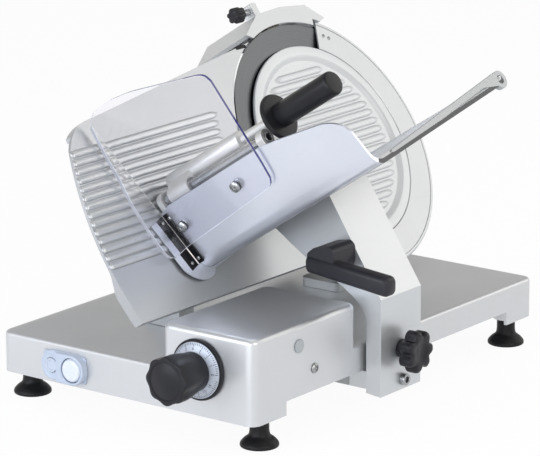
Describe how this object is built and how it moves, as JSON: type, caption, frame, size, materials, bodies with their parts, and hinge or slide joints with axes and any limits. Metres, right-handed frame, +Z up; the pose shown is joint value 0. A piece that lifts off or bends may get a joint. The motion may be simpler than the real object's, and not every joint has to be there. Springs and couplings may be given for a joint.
{
  "type": "deli meat slicer",
  "caption": "Gravity-feed deli slicer with a tilted round blade, ribbed gauge plate, sliding food tray with pusher and clear hand guard, dial and push-button switch.",
  "frame": {"origin": "bottom centre of the bounding box, on the surface that the feet stand on", "axes": "+Z up, -Y towards the operator and the switch panel, +X the carriage side, +Y the way the carriage is pushed"},
  "size_m": [0.4456, 0.6298, 0.3949],
  "materials": {
    "cast_aluminium": "sanded and anodised",
    "tray_aluminium": "satin anodised sheet",
    "stainless_steel": "ground",
    "blade_steel": "ground and dark",
    "dial_aluminium": "turned, black graduations",
    "motor_iron": "painted",
    "black_plastic": "matt black",
    "black_rubber": "matt black",
    "white_plastic": "satin, pale bluish white",
    "grey_plastic": "satin, pale grey",
    "clear_acrylic": "clear, polished edges",
    "abrasive": "grit"
  },
  "bodies": {
    "base": {"base_casing": "cast_aluminium", "bottom_cover": "tray_aluminium", "foot_front_right": "black_rubber", "foot_rear_right": "black_rubber", "foot_front_left": "black_rubber", "foot_rear_left": "black_rubber", "blanking_plug": "grey_plastic", "side_screw": "stainless_steel", "switch_bezel": "white_plastic", "slide_shaft": "stainless_steel", "guide_rail": "stainless_steel", "gauge_guide": "cast_aluminium", "blade_support": "cast_aluminium", "bearing_front": "stainless_steel", "bearing_rear": "stainless_steel", "guard_ring": "cast_aluminium", "slice_deflector": "tray_aluminium", "blade_cover": "cast_aluminium", "cover_tie_rod": "stainless_steel", "drive_belt": "black_rubber", "motor_body": "motor_iron", "sharpener_cover": "cast_aluminium", "sharpener_post": "cast_aluminium", "sharpener_body": "cast_aluminium"},
    "stop": {"stop_button": "grey_plastic"},
    "start": {"start_button": "white_plastic"},
    "dial": {"dial_ring": "dial_aluminium", "dial_knob": "black_plastic", "dial_shaft": "stainless_steel", "gauge_cam": "stainless_steel"},
    "gauge": {"gauge_plate": "cast_aluminium", "gauge_stem": "stainless_steel"},
    "blade": {"blade": "blade_steel", "blade_shaft": "stainless_steel", "blade_pulley": "cast_aluminium"},
    "rotor": {"motor_shaft": "stainless_steel", "motor_pulley": "stainless_steel"},
    "tie_knob": {"tie_knob": "black_plastic"},
    "sharpener_knob": {"sharpener_knob": "black_plastic"},
    "grinding_stone": {"stone_grinding": "abrasive"},
    "deburring_stone": {"stone_deburring": "abrasive"},
    "carriage": {"slide_block": "cast_aluminium", "carriage_arm": "cast_aluminium", "arm_screw": "stainless_steel", "push_handle": "black_plastic", "food_tray": "tray_aluminium", "hand_guard": "clear_acrylic", "guard_screw_upper": "stainless_steel", "guard_screw_lower": "stainless_steel", "corner_strip": "black_plastic", "pusher_rod": "stainless_steel", "rod_bracket_near": "tray_aluminium", "rod_bracket_far": "tray_aluminium"},
    "roller": {"carriage_roller": "stainless_steel"},
    "star_knob": {"star_knob": "black_plastic"},
    "pusher_slider": {"pusher_collar": "stainless_steel"},
    "pusher": {"pusher_arm": "cast_aluminium", "pusher_eye": "cast_aluminium", "pusher_flange": "black_plastic", "pusher_handle": "black_plastic"}
  },
  "joints": [
    {"name": "stop_press", "type": "slide", "parent": "base", "child": "stop", "axis": [0, 1, 0], "range_m": [0, 0.003], "stiffness_N_per_m": 300},
    {"name": "start_press", "type": "slide", "parent": "base", "child": "start", "axis": [0, 1, 0], "range_m": [0, 0.003], "stiffness_N_per_m": 300},
    {"name": "dial_turn", "type": "hinge", "parent": "base", "child": "dial", "pos_m": [0.0689, -0.25701, 0.082], "axis": [0, -1, 0], "range_deg": [0, 330]},
    {"name": "gauge_slide", "type": "slide", "parent": "base", "child": "gauge", "axis": [-0.8387, 0, -0.5446], "range_m": [0, 0.015]},
    {"name": "blade_spin", "type": "hinge", "parent": "base", "child": "blade", "pos_m": [-0.05917, 0.15599, 0.23083], "axis": [0.8387, 0, 0.5446], "continuous": true},
    {"name": "motor_spin", "type": "hinge", "parent": "base", "child": "rotor", "pos_m": [-0.02432, 0.11099, 0.17716], "axis": [0.8387, 0, 0.5446], "continuous": true},
    {"name": "tie_knob_turn", "type": "hinge", "parent": "base", "child": "tie_knob", "pos_m": [-0.05917, 0.15599, 0.23083], "axis": [0.8387, 0, 0.5446], "continuous": true},
    {"name": "sharpener_knob_turn", "type": "hinge", "parent": "base", "child": "sharpener_knob", "pos_m": [-0.16006, 0.12599, 0.37517], "axis": [0, -1, 0], "continuous": true},
    {"name": "grinding_stone_spin", "type": "hinge", "parent": "base", "child": "grinding_stone", "pos_m": [-0.14428, 0.13799, 0.36189], "axis": [0.8387, 0, 0.5446], "continuous": true},
    {"name": "deburring_stone_spin", "type": "hinge", "parent": "base", "child": "deburring_stone", "pos_m": [-0.14428, 0.17399, 0.36189], "axis": [0.8387, 0, 0.5446], "continuous": true},
    {"name": "carriage_slide", "type": "slide", "parent": "base", "child": "carriage", "axis": [0, 1, 0], "range_m": [0, 0.205]},
    {"name": "roller_spin", "type": "hinge", "parent": "carriage", "child": "roller", "pos_m": [0.0359, -0.02621, 0.0407], "axis": [1, 0, 0], "continuous": true},
    {"name": "star_knob_turn", "type": "hinge", "parent": "carriage", "child": "star_knob", "pos_m": [0.1649, -0.02621, 0.0665], "axis": [1, 0, 0], "continuous": true},
    {"name": "pusher_slide", "type": "slide", "parent": "carriage", "child": "pusher_slider", "axis": [0.8387, 0, 0.5446], "range_m": [-0.002, 0.105]},
    {"name": "pusher_swing", "type": "hinge", "parent": "pusher_slider", "child": "pusher", "pos_m": [-0.05435, -0.16684, 0.2234], "axis": [0.8387, 0, 0.5446], "range_deg": [0, 70]}
  ],
  "couplings": [
    {"joint": "dial_turn", "follows": "gauge_slide", "rad_per_m": 383.31},
    {"joint": "motor_spin", "follows": "blade_spin", "ratio": 2.7143}
  ]
}
